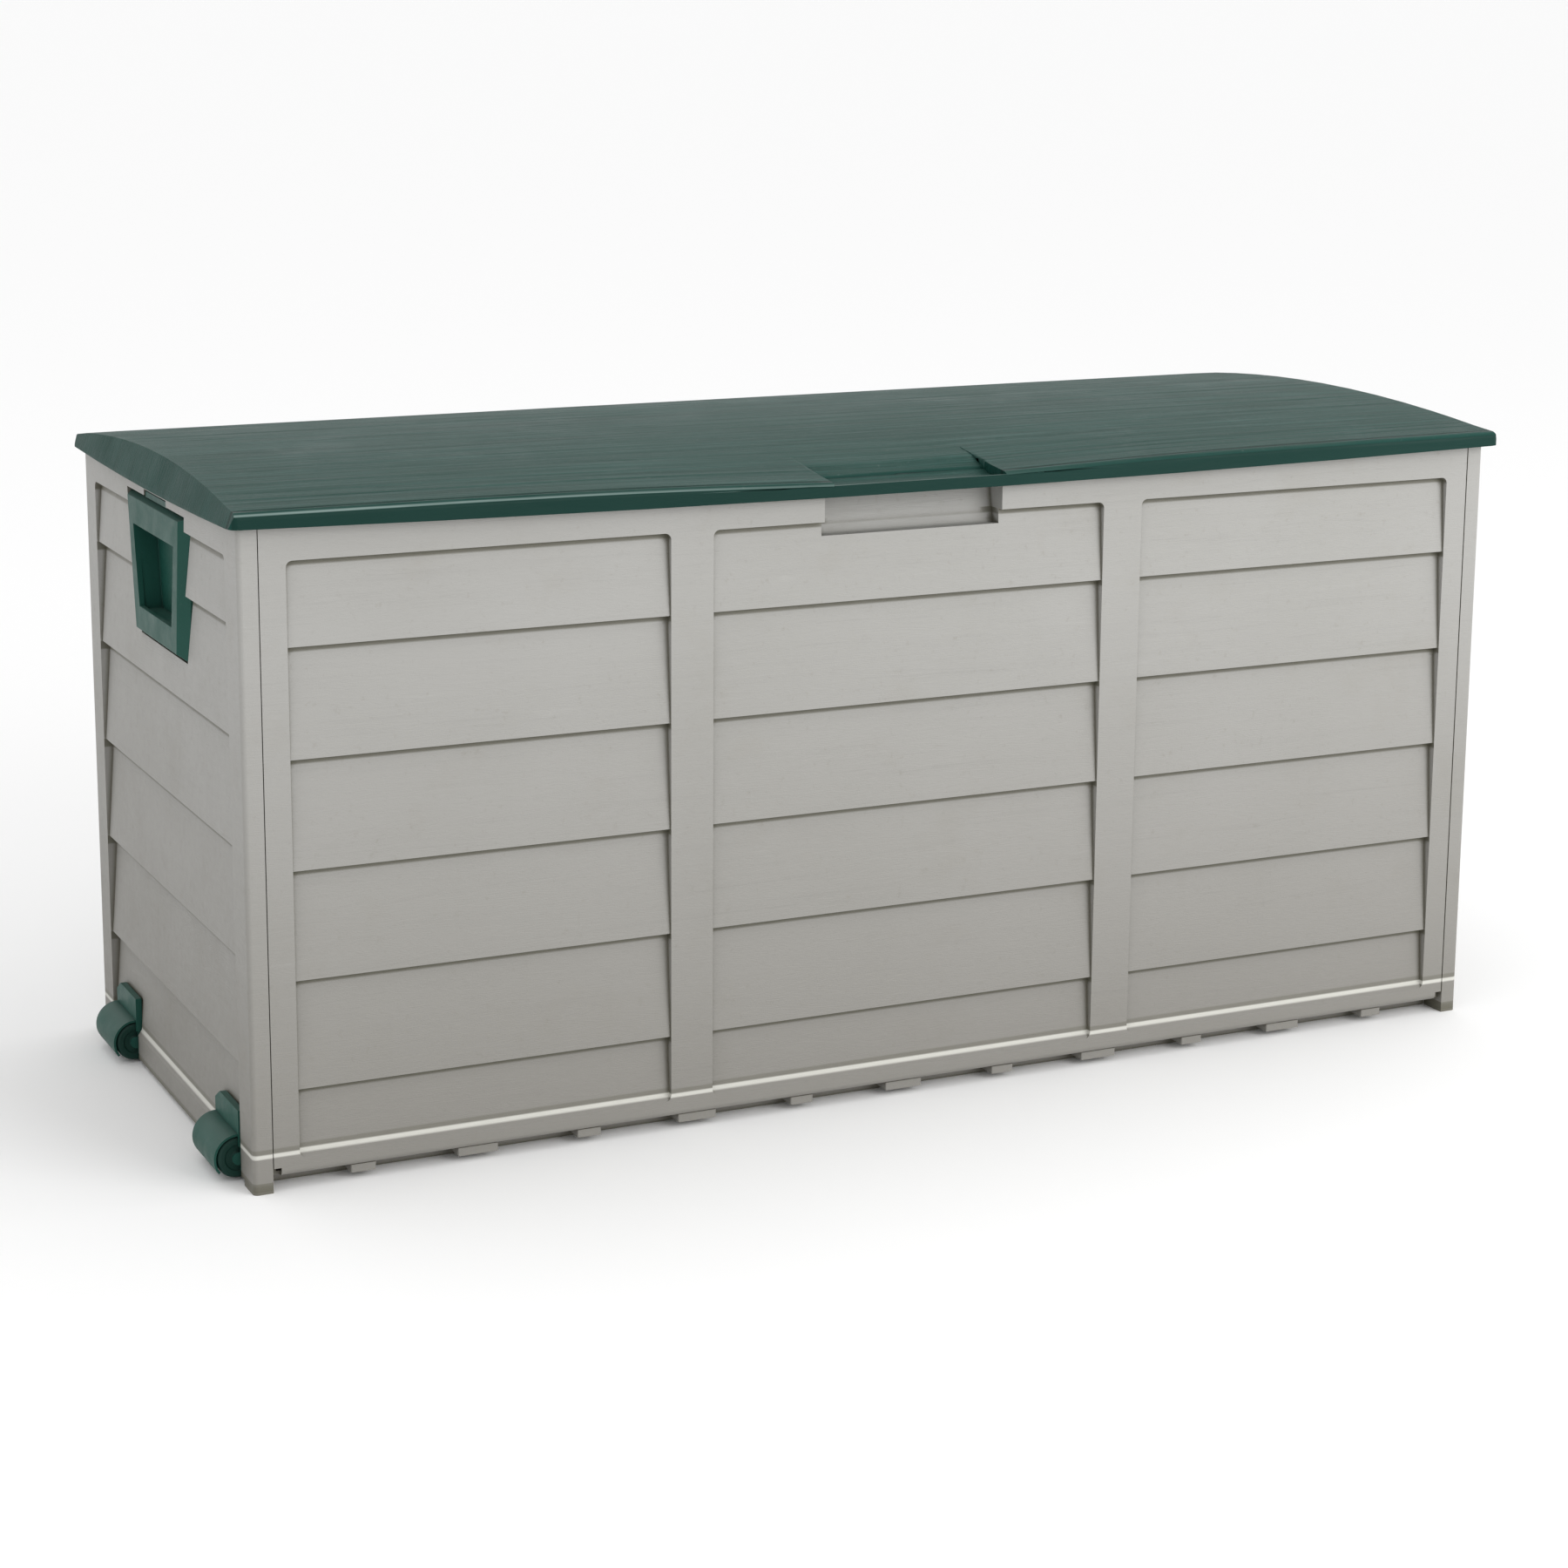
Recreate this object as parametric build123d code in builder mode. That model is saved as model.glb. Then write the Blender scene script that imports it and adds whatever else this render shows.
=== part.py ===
from build123d import *
import os

# A wheeled garden deck box: four clip-together wall panels that imitate lapped boards, a ribbed
# floor, a crowned lid on three hinges, two recessed handles and two roller wheels on the left.
# Millimetres. +X runs along the box, -Y is the front, +Z is up.
# The origin is on the ground under the middle of the box.

os.makedirs("parts", exist_ok=True)

# ---------------------------------------------------------------- driving dimensions
body_width = 1100.0
body_depth = 450.0
wall_top = 507.0
skin = 3.0
clear = 0.4

# Corner posts are the front and back edges of the side panels.
post_width = 15.2
post_radius = 4.0
side_foot_length = 25.0
side_bottom = 4.6

# Long panels stand between the posts.
long_half = body_width / 2 - post_width - 0.8
long_face = body_depth / 2 - 0.3
long_frame = 24.0
long_bottom = 12.0
stile_width = 35.7
field_half = 173.75
outer_field_end = 513.7

# Lapped boards: each lower edge stands proud, each hidden top edge lies deepest.
lap_pitch = 84.45
lap_out = 1.7
lap_in = 8.0
long_rail = 480.4
long_first_lap = 415.9
side_rail = 482.0
side_first_lap = 431.0
lap_count = 5
sill_top = 29.5
sill_drop = 4.5
field_corner = 5.0
side_field_half = 192.0

# Tongue on each end of a long panel, held in a groove of the side panel.
tongue_depth = 5.0
tongue_thick = 6.0
tongue_low = 40.0
tongue_high = 480.0

# Finger recess in the top edge of the front panel.
recess_half = 79.0
recess_floor = 468.6
recess_depth = 24.0
recess_depth_low = 17.0
recess_round = 3.0

# Ribbed floor.
floor_top = 17.5
floor_thick = 3.5
floor_rib = 3.0
tab_top = long_bottom - clear
tab_bottom = 4.6
tab_pitch = 92.5
tab_wide = 33.0
tab_narrow = 20.0
tab_reach = 20.0
floor_tongue = 6.0
floor_tongue_width = 30.0
floor_tongue_thick = 4.0
floor_tongue_z = 11.0
floor_tongue_ys = (-75, 0, 75)

# Lid: crowned from front to back, with leaning ends and an apron that hangs in shallow arcs.
lid_half = 558.0
lid_front = -237.0
lid_back = 231.0
lid_low = 507.4
lid_lip = 519.2
lid_crown = 532.4
lid_crown_y = -4.0
lid_shoulder = 30.0
lid_apron_gap = 1.2
lid_droop = 6.0
lid_end_droop = 3.6
lid_end_lean = 9.5
lid_rib = 2.5
lid_nose = 5.5
lid_heel = 4.0
lid_heel_step = 2.0
lid_corner = 7.0
lid_rib_ys = (-221, -150, -75, 0, 75, 150, 221)

# Grip scoop in the front edge of the lid: a lip, a trough behind it and a slope up to the crown.
# The tray under the trough hangs into the finger recess of the front panel.
scoop_half = 76.0
scoop_lip = (-234.0, 510.6)
scoop_trough = (-227.0, -210.0, 507.0)
tray_lap = 2.0
tray_side_lap = 0.5
scoop_knee = (-197.0, 511.6)
scoop_end = (-155.0, 526.3)
tray_low = 503.4
tray_back = -203.5

# Hinges.
hinge_y = 233.0
hinge_z = 500.0
hinge_xs = {"left": -380.0, "centre": 0.0, "right": 380.0}
knuckle_radius = 6.5
pin_radius = 3.0
pin_play = 0.08
lug_half = 14.5
bracket_half = 35.0
bracket_thick = 4.0

# Handles: a trapezoid bezel, wider at the top, with a pocket behind it.
# Each outline is half the top width, top z, half the bottom width, bottom z.
handle_face = 552.5
handle_shoulder = 544.0
handle_neck = 538.0
handle_back = 530.5
handle_rim = (84.0, 493.0, 68.0, 377.0)
handle_bezel = (75.0, 488.5, 60.0, 383.0)
handle_shell = (64.5, 484.5, 51.0, 396.0)
handle_opening = (59.5, 467.0, 47.5, 402.0)
handle_pocket = (61.0, 481.0, 48.5, 399.5)
handle_front_wall = 4.5
clip_width = 64.0
clip_low = 492.0
clip_high = 497.0
hook_y = 75.5
hook_z = 435.0

# Roller wheels under hoods on the left side.
wheel_x = -551.3
wheel_z = 18.5
wheel_radius = 16.3
wheel_half = 28.8
wheel_rim = 3.0
hood_inner = 17.0
hood_outer = 18.8
housing_half = 31.4
axle_cap = 0.8
cheek = 2.2
axle_radius = 3.0
housing_ys = {"front": -160.0, "rear": 142.0}

lap_rib_half = 1.25
screw_radius = 1.75
screw_head_radius = 3.8
screw_head = 2.2


# ---------------------------------------------------------------- lapped-board profiles
def lap_depth(height):
    """How deep a board lies behind the frame at a height above its own lower edge."""
    return lap_out + (lap_in - lap_out) * height / lap_pitch


def lap_front(rail, first_lap):
    """Front outline of one field of boards, as (depth, z) points from the rail down to the sill."""
    points = [(lap_depth(rail - first_lap), rail)]
    for board in range(lap_count):
        edge = first_lap - board * lap_pitch
        points += [(lap_out, edge), (lap_in, edge)]
    last_edge = first_lap - lap_count * lap_pitch
    points += [(lap_depth(sill_top - last_edge), sill_top), (0, sill_top - sill_drop)]
    return points


def lap_rear(rail, first_lap):
    """Rear outline of the same boards, one skin thickness behind the front one."""
    points = [(lap_depth(rail - first_lap) + skin, rail)]
    for board in range(lap_count):
        edge = first_lap - board * lap_pitch + skin
        points += [(lap_depth(skin) + skin, edge), (lap_in + skin, edge)]
    low = sill_top + skin
    last_edge = first_lap - lap_count * lap_pitch
    points += [(lap_depth(low - last_edge) + skin, low)]
    return points


def trapezoid(top_half, top_z, low_half, low_z, grow=0.0):
    """Corners of a trapezoid that is symmetric about the middle of the side."""
    low = (low_half + grow, low_z - grow)
    top = (top_half + grow, top_z + grow)
    return [(-low[0], low[1]), low, top, (-top[0], top[1])]


# ---------------------------------------------------------------- long panels (front and back)
field_centres = [
    (-(outer_field_end + field_half + stile_width) / 2, (outer_field_end - field_half - stile_width) / 2),
    (0.0, field_half),
    ((outer_field_end + field_half + stile_width) / 2, (outer_field_end - field_half - stile_width) / 2),
]


def long_field_tools(facing, centre, half):
    """The cutters in front of and behind one field of boards of a long panel."""
    sign = 1 if facing < 0 else -1
    face = facing * long_face
    front = lap_front(long_rail, long_first_lap)
    outer = [(face + sign * depth, z) for depth, z in front]
    outer += [(face - sign * 2, sill_top - sill_drop), (face - sign * 2, long_rail)]
    with BuildPart() as outer_tool:
        with BuildSketch(Plane.YZ.offset(centre - half)):
            with BuildLine():
                Polyline(*outer, close=True)
            make_face()
        extrude(amount=2 * half)
        with BuildSketch(Plane.XZ.offset(-face - facing * 10)):
            with Locations((centre, (long_rail + sill_top - sill_drop) / 2)):
                RectangleRounded(2 * half, long_rail - sill_top + sill_drop, field_corner)
        extrude(amount=40, both=True, mode=Mode.INTERSECT)
    rear = [(face + sign * depth, z) for depth, z in lap_rear(long_rail, long_first_lap)]
    rear += [(face + sign * (long_frame + 1), rear[-1][1]), (face + sign * (long_frame + 1), long_rail)]
    bay = half - lap_rib_half
    with BuildPart() as inner_tool:
        for start in (centre - half, centre + lap_rib_half):
            with BuildSketch(Plane.YZ.offset(start)):
                with BuildLine():
                    Polyline(*rear, close=True)
                make_face()
            extrude(amount=bay)
    return outer_tool.part, inner_tool.part


def make_long_panel(facing, recessed):
    """The front panel (facing -1) or back panel (facing +1), with or without a finger recess."""
    sign = 1 if facing < 0 else -1
    face = facing * long_face
    middle = (long_bottom + wall_top) / 2
    height = wall_top - long_bottom
    with BuildPart() as panel:
        with Locations((0, face + sign * long_frame / 2, middle)):
            Box(2 * long_half, long_frame, height)
        foot_edges = panel.edges().filter_by(Axis.X).group_by(Axis.Z)[0]
        outer_edge = foot_edges.sort_by(Axis.Y)[0 if facing < 0 else -1]
        fillet(outer_edge, radius=5)
        # Tongues that slide down into the side panels.
        for side in (-1, 1):
            with Locations((side * (long_half + tongue_depth / 2), face + sign * long_frame / 2,
                            (tongue_low + tongue_high) / 2)):
                Box(tongue_depth, tongue_thick, tongue_high - tongue_low)
        field_tools = [long_field_tools(facing, centre, half) for centre, half in field_centres]
        for outer_tool, inner_tool in field_tools:
            add(inner_tool, mode=Mode.SUBTRACT)
        # Hollow stiles, end posts and rails, open to the inside of the box.
        hollow_y = face + sign * (skin + long_frame) / 2
        hollow_depth = long_frame - skin
        stiles = [-field_half - stile_width / 2, field_half + stile_width / 2]
        with Locations(*[(x, hollow_y, middle) for x in stiles]):
            Box(stile_width - 2 * skin, hollow_depth, height - 2 * skin, mode=Mode.SUBTRACT)
        end_width = long_half - outer_field_end
        with Locations(*[(side * (outer_field_end + end_width / 2), hollow_y, middle) for side in (-1, 1)]):
            Box(end_width - 2 * skin, hollow_depth, height - 2 * skin, mode=Mode.SUBTRACT)
        rail_height = wall_top - long_rail - 2 * skin
        sill_height = sill_top - sill_drop - long_bottom - skin
        for centre, half in field_centres:
            with Locations((centre, hollow_y, (wall_top + long_rail) / 2)):
                Box(2 * half, hollow_depth, rail_height, mode=Mode.SUBTRACT)
            with Locations((centre, hollow_y, long_bottom + skin + sill_height / 2)):
                Box(2 * half, hollow_depth, sill_height, mode=Mode.SUBTRACT)
        # Walls of the finger recess, one skin thick, reaching a little behind the frame.
        if recessed:
            shell_height = wall_top - recess_floor + skin
            with Locations((0, face + sign * (recess_depth + skin) / 2, wall_top - shell_height / 2)):
                Box(2 * (recess_half + skin), recess_depth + skin, shell_height)
        for outer_tool, inner_tool in field_tools:
            add(outer_tool, mode=Mode.SUBTRACT)
    return panel


plain_front = make_long_panel(-1, recessed=True)
plain_back = make_long_panel(1, recessed=False)

# The recess leans: deepest under the lid, shallower at its floor.
recess_top = wall_top + 10
with BuildPart() as recess_tool:
    with BuildSketch(Plane.YZ.offset(-recess_half)):
        with BuildLine():
            Polyline((-long_face - 1, recess_floor), (-long_face + recess_depth_low - recess_round, recess_floor))
            RadiusArc((-long_face + recess_depth_low - recess_round, recess_floor),
                      (-long_face + recess_depth_low, recess_floor + recess_round), -recess_round)
            Polyline((-long_face + recess_depth_low, recess_floor + recess_round),
                     (-long_face + recess_depth, wall_top), (-long_face + recess_depth, recess_top),
                     (-long_face - 1, recess_top), (-long_face - 1, recess_floor))
        make_face()
    extrude(amount=2 * recess_half)

with BuildPart() as front_panel:
    add(plain_front.part)
    add(recess_tool.part, mode=Mode.SUBTRACT)
    # Drain and release notches at the feet of the end posts.
    with Locations(*[(side * (long_half - 3), -long_face, long_bottom) for side in (-1, 1)]):
        Box(6, 12, 14, mode=Mode.SUBTRACT)
front_panel.part.label = "front_panel"
export_step(front_panel.part, "parts/front_panel.step")

hinge_screw_xs = [x + offset for x in hinge_xs.values() for offset in (-24.0, 24.0)]
hinge_screw_z = 487.5

with BuildPart() as back_panel:
    add(plain_back.part)
    with BuildSketch(Plane.XZ.offset(-long_face - 1)):
        with Locations(*[(x, hinge_screw_z) for x in hinge_screw_xs]):
            Circle(screw_radius)
    extrude(amount=skin + 2, mode=Mode.SUBTRACT)
back_panel.part.label = "back_panel"
export_step(back_panel.part, "parts/back_panel.step")


# ---------------------------------------------------------------- side panels
housing_screw_z = 48.0
housing_screw_gap = 36.0


def make_side_panel(side):
    """The left (-1) or right (+1) side panel, with its two corner posts and feet."""
    face = side * body_width / 2

    def at(depth):
        return face - side * depth

    field = [(at(depth), z) for depth, z in lap_front(side_rail, side_first_lap)]
    field += [(at(-2), sill_top - sill_drop), (at(-2), side_rail)]
    rear = [(at(depth), z) for depth, z in lap_rear(side_rail, side_first_lap)]
    rear += [(at(post_width + 1), rear[-1][1]), (at(post_width + 1), side_rail)]
    field_height = side_rail - sill_top + sill_drop
    with BuildPart() as field_tool:
        with BuildSketch(Plane.XZ.offset(-side_field_half)):
            with BuildLine():
                Polyline(*field, close=True)
            make_face()
        extrude(amount=2 * side_field_half)
        with BuildSketch(Plane.YZ.offset(face)):
            with Locations((0, side_rail - field_height / 2)):
                RectangleRounded(2 * side_field_half, field_height, field_corner)
        extrude(amount=40, both=True, mode=Mode.INTERSECT)
    with BuildPart() as panel:
        with Locations((at(post_width / 2), 0, wall_top / 2)):
            Box(post_width, body_depth, wall_top)
        posts = panel.edges().filter_by(Axis.Z).sort_by(Axis.X)
        fillet(posts[:2] if side < 0 else posts[-2:], radius=post_radius)
        # The underside between the two feet is a little higher than the feet.
        with Locations((face, 0, side_bottom / 2)):
            Box(4 * post_width, body_depth - 2 * side_foot_length, side_bottom, mode=Mode.SUBTRACT)
        add(field_tool.part, mode=Mode.SUBTRACT)
        bay = side_field_half - lap_rib_half
        for start in (side_field_half, -lap_rib_half):
            with BuildSketch(Plane.XZ.offset(-start)):
                with BuildLine():
                    Polyline(*rear, close=True)
                make_face()
            extrude(amount=bay, mode=Mode.SUBTRACT)
        # Hollow rail and sill, open to the inside.
        hollow_x = at((post_width + skin) / 2)
        with Locations((hollow_x, 0, (wall_top + side_rail) / 2)):
            Box(post_width - skin, 2 * side_field_half, wall_top - side_rail - 2 * skin, mode=Mode.SUBTRACT)
        sill_low = side_bottom + skin
        sill_high = sill_top - sill_drop
        with Locations((hollow_x, 0, (sill_low + sill_high) / 2)):
            Box(post_width - skin, 2 * side_field_half, sill_high - sill_low, mode=Mode.SUBTRACT)
        # Grooves for the tongues of the long panels.
        groove_y = long_face - long_frame / 2
        groove_height = tongue_high - tongue_low + 2 * clear
        with Locations(*[(at(post_width - tongue_depth / 2), y, (tongue_low + tongue_high) / 2)
                         for y in (-groove_y, groove_y)]):
            Box(tongue_depth + clear, tongue_thick + 2 * clear, groove_height, mode=Mode.SUBTRACT)
        # Opening for the handle, and a notch in the rail for its clip.
        with BuildSketch(Plane.YZ.offset(face)):
            with BuildLine():
                Polyline(*trapezoid(*handle_rim, clear), close=True)
            make_face()
        extrude(amount=2 * post_width, both=True, mode=Mode.SUBTRACT)
        with Locations((at(3), 0, (clip_low + clip_high) / 2 + clear)):
            Box(7, clip_width + 2 * clear, clip_high - clip_low + 2, mode=Mode.SUBTRACT)
        # Slots for the tongues of the floor.
        with Locations(*[(at(post_width - floor_tongue / 2), y, floor_tongue_z) for y in floor_tongue_ys]):
            Box(floor_tongue + 2 * clear, floor_tongue_width + 2 * clear, floor_tongue_thick + 2 * clear,
                mode=Mode.SUBTRACT)
        if side < 0:
            for middle in housing_ys.values():
                with Locations((face, middle, (wheel_z + hood_outer + clear) / 2)):
                    Box(4 * post_width, 2 * (housing_half + clear), wheel_z + hood_outer + clear,
                        mode=Mode.SUBTRACT)
                with BuildSketch(Plane.YZ.offset(face)):
                    with Locations((middle - housing_screw_gap / 2, housing_screw_z),
                                   (middle + housing_screw_gap / 2, housing_screw_z)):
                        Circle(4 + clear)
                extrude(amount=2 * post_width, both=True, mode=Mode.SUBTRACT)
    return panel


left_side_panel = make_side_panel(-1)
left_side_panel.part.label = "left_side_panel"
export_step(left_side_panel.part, "parts/left_side_panel.step")

right_side_panel = make_side_panel(1)
right_side_panel.part.label = "right_side_panel"
export_step(right_side_panel.part, "parts/right_side_panel.step")


# ---------------------------------------------------------------- floor
floor_half_x = body_width / 2 - post_width - clear
floor_half_y = long_face - long_frame - clear

with BuildPart() as base_floor:
    with BuildSketch(Plane.XY.offset(floor_top - floor_thick)):
        Rectangle(2 * floor_half_x, 2 * floor_half_y)
    extrude(amount=floor_thick)
    # Rim and crossed ribs underneath, standing on the ground.
    with BuildSketch(Plane.XY):
        Rectangle(2 * floor_half_x, 2 * floor_half_y)
        Rectangle(2 * (floor_half_x - floor_rib), 2 * (floor_half_y - floor_rib), mode=Mode.SUBTRACT)
        with GridLocations(2 * floor_half_x / 8, 0, 7, 1):
            Rectangle(floor_rib, 2 * floor_half_y)
        with GridLocations(0, 2 * floor_half_y / 4, 1, 3):
            Rectangle(2 * floor_half_x, floor_rib)
    extrude(amount=floor_top - floor_thick)
    # Shallow grip ribs on the inside.
    with BuildSketch(Plane.XY.offset(floor_top)):
        with GridLocations(92, 0, 10, 1):
            Rectangle(6, 2 * floor_half_y - 60)
    extrude(amount=1.2)
    # Tabs under the long panels: wide and narrow ones in turn.
    for index in range(-5, 6):
        width = tab_wide if index % 2 == 0 else tab_narrow
        for side in (-1, 1):
            with Locations((index * tab_pitch, side * (floor_half_y + tab_reach / 2 - 1),
                            (tab_bottom + tab_top) / 2)):
                Box(width, tab_reach + 2, tab_top - tab_bottom)
    # Tongues into the side panels.
    for side in (-1, 1):
        with Locations(*[(side * (floor_half_x + floor_tongue / 2 - 0.5), y, floor_tongue_z)
                         for y in floor_tongue_ys]):
            Box(floor_tongue + 1, floor_tongue_width, floor_tongue_thick)
base_floor.part.label = "base_floor"
export_step(base_floor.part, "parts/base_floor.step")


# ---------------------------------------------------------------- lid
def lid_outline(inset):
    """Side profile of the lid, or of the hollow a given distance inside it."""
    front = lid_front + inset
    back = lid_back - inset
    lip = lid_lip - inset
    crown = lid_crown - inset
    low = lid_low - lid_droop
    nose = lid_nose - inset
    heel = lid_heel - inset
    heel_top = lip - lid_heel_step
    shoulder_front = (lid_front + lid_shoulder, lip + 2)
    shoulder_back = (lid_back - lid_shoulder, lip + 2)
    sag = 1 - 0.5 ** 0.5
    with BuildLine() as outline:
        Line((front, low), (front, lip - nose))
        ThreePointArc((front, lip - nose), (front + sag * nose, lip - sag * nose), (front + nose, lip))
        Line((front + nose, lip), shoulder_front)
        ThreePointArc(shoulder_front, (lid_crown_y, crown), shoulder_back)
        Line(shoulder_back, (back - heel, heel_top))
        ThreePointArc((back - heel, heel_top), (back - sag * heel, heel_top - sag * heel),
                      (back, heel_top - heel))
        Line((back, heel_top - heel), (back, low))
        Line((back, low), (front, low))
    return outline


def under_arc(half, droop):
    """The region under an arc that hangs by droop in the middle and meets lid_low at both ends."""
    with BuildLine() as outline:
        ThreePointArc((-half, lid_low), (0, lid_low - droop), (half, lid_low))
        Polyline((half, lid_low), (half, lid_low - 20), (-half, lid_low - 20), (-half, lid_low))
    return outline


with BuildPart() as lid:
    with BuildSketch(Plane.YZ.offset(-lid_half)):
        add(lid_outline(0).line)
        make_face()
    extrude(amount=2 * lid_half)
    # Corners rounded in plan, and ends that lean inwards.
    with BuildSketch(Plane.XY.offset(lid_low - 20)):
        with Locations((0, (lid_front + lid_back) / 2)):
            RectangleRounded(2 * lid_half, lid_back - lid_front, lid_corner)
    extrude(amount=60, mode=Mode.INTERSECT)
    with BuildSketch(Plane.XZ.offset(-lid_front + 1)):
        for side in (-1, 1):
            with BuildLine():
                Polyline((side * lid_half, lid_low), (side * (lid_half - lid_end_lean), lid_crown + 1),
                         (side * (lid_half + 1), lid_crown + 1), (side * (lid_half + 1), lid_low), close=True)
            make_face()
    extrude(amount=lid_front - lid_back - 2, mode=Mode.SUBTRACT)
    # Level underside inside the apron; the apron hangs outside the walls, in shallow arcs.
    inside_x = body_width / 2 + lid_apron_gap
    inside_front = -body_depth / 2 - lid_apron_gap
    with BuildSketch(Plane.XY.offset(lid_low)):
        with Locations((0, (inside_front + 300) / 2)):
            Rectangle(2 * inside_x, 300 - inside_front)
    extrude(amount=-20, mode=Mode.SUBTRACT)
    with BuildSketch(Plane.XZ.offset(-lid_front + 1)):
        add(under_arc(lid_half + 2, lid_droop).line)
        make_face()
    extrude(amount=lid_front - inside_front - 1, mode=Mode.SUBTRACT)
    for start in (-lid_half - 1, inside_x):
        with BuildSketch(Plane.YZ.offset(start)):
            add(under_arc(2 - lid_front, lid_end_droop).line)
            make_face()
        extrude(amount=lid_half + 1 - inside_x, mode=Mode.SUBTRACT)
    # Grip scoop and the tray under it.
    above = lid_lip + 20
    outside = lid_front - 5
    trough_front, trough_rear, trough_z = scoop_trough
    with Locations((0, (lid_front + 1 + tray_back) / 2, (tray_low + lid_low + tray_lap) / 2)):
        Box(2 * (scoop_half + tray_side_lap), tray_back - lid_front - 1, lid_low + tray_lap - tray_low)
    with BuildSketch(Plane.YZ.offset(-scoop_half)):
        with BuildLine():
            Polyline((outside, above), (outside, scoop_lip[1]), scoop_lip, (trough_front, trough_z),
                     (trough_rear, trough_z))
            ThreePointArc((trough_rear, trough_z), (trough_rear + 7.5, trough_z + 1.3), scoop_knee)
            ThreePointArc(scoop_knee, (scoop_knee[0] + 15, scoop_knee[1] + 7.5), scoop_end)
            Polyline(scoop_end, (scoop_end[0], above), (outside, above))
        make_face()
    extrude(amount=2 * scoop_half, mode=Mode.SUBTRACT)
    # Ribbed hollow underneath, cut bay by bay so that cross ribs remain.
    bay_count = 8
    hollow_half = lid_half - lid_end_lean - skin
    bay = 2 * hollow_half / bay_count
    scoop_block = scoop_end[0] - lid_front + skin
    for index in range(bay_count):
        start = -hollow_half + index * bay + lid_rib / 2
        over_scoop = abs(start + bay / 2) < bay
        with BuildSketch(Plane.YZ.offset(start)):
            add(lid_outline(skin).line)
            make_face()
            for rib_y in lid_rib_ys:
                with Locations((rib_y, lid_low)):
                    Rectangle(lid_rib, 80, mode=Mode.SUBTRACT)
            if over_scoop:
                with Locations((lid_front + scoop_block / 2, lid_low)):
                    Rectangle(scoop_block, 80, mode=Mode.SUBTRACT)
        extrude(amount=bay - lid_rib, mode=Mode.SUBTRACT)
    # Hinge lugs.
    for x in hinge_xs.values():
        with BuildSketch(Plane.YZ.offset(x - lug_half)):
            with BuildLine():
                Polyline((lid_back - 3.5, lid_low + 2), (lid_back - 1, lid_lip - 8),
                         (hinge_y + knuckle_radius - 0.4, hinge_z + 2), (hinge_y + knuckle_radius - 0.2, hinge_z),
                         (hinge_y - knuckle_radius + 0.2, hinge_z), close=True)
            make_face()
            with Locations((hinge_y, hinge_z)):
                Circle(knuckle_radius - 0.2)
        extrude(amount=2 * lug_half)
    with BuildSketch(Plane.YZ.offset(-lid_half)):
        with Locations((hinge_y, hinge_z)):
            Circle(pin_radius + pin_play)
    extrude(amount=2 * lid_half, mode=Mode.SUBTRACT)
lid.part.label = "lid"
export_step(lid.part, "parts/lid.step")


# ---------------------------------------------------------------- hinges
for name, x in hinge_xs.items():
    with BuildPart() as hinge_bracket:
        plate_low = 481.5
        plate_high = 494.0
        with Locations((x, long_face + bracket_thick / 2, (plate_low + plate_high) / 2)):
            Box(2 * bracket_half, bracket_thick, plate_high - plate_low)
        for start in (x - bracket_half, x + lug_half + 0.5):
            with BuildSketch(Plane.YZ.offset(start)):
                with BuildLine():
                    Polyline((long_face, plate_low + 3), (hinge_y, hinge_z - knuckle_radius),
                             (hinge_y, hinge_z + knuckle_radius), (long_face, hinge_z + 2), close=True)
                make_face()
                with Locations((hinge_y, hinge_z)):
                    Circle(knuckle_radius)
            extrude(amount=bracket_half - lug_half - 0.5)
        with BuildSketch(Plane.YZ.offset(x - 2 * bracket_half)):
            with Locations((hinge_y, hinge_z)):
                Circle(pin_radius)
        extrude(amount=4 * bracket_half, mode=Mode.SUBTRACT)
        with BuildSketch(Plane.XZ.offset(-long_face)):
            with Locations((x - 24, hinge_screw_z), (x + 24, hinge_screw_z)):
                Circle(screw_radius)
        extrude(amount=-20, mode=Mode.SUBTRACT)
        with BuildSketch(Plane.XZ.offset(-long_face - bracket_thick)):
            with Locations((x - 24, hinge_screw_z), (x + 24, hinge_screw_z)):
                Circle(screw_head_radius + 0.3)
        extrude(amount=-20, mode=Mode.SUBTRACT)
    hinge_bracket.part.label = f"hinge_bracket_{name}"
    export_step(hinge_bracket.part, f"parts/hinge_bracket_{name}.step")

    with BuildPart() as hinge_pin:
        with BuildSketch(Plane.YZ.offset(x - bracket_half - 1)):
            with Locations((hinge_y, hinge_z)):
                Circle(pin_radius)
        extrude(amount=2 * bracket_half + 2)
        with BuildSketch(Plane.YZ.offset(x - bracket_half)):
            with Locations((hinge_y, hinge_z)):
                Circle(pin_radius + 2)
        extrude(amount=-2.5)
        chamfer(hinge_pin.edges().filter_by(GeomType.CIRCLE).sort_by(Axis.X)[-1], length=0.7)
    hinge_pin.part.label = f"hinge_pin_{name}"
    export_step(hinge_pin.part, f"parts/hinge_pin_{name}.step")

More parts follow.
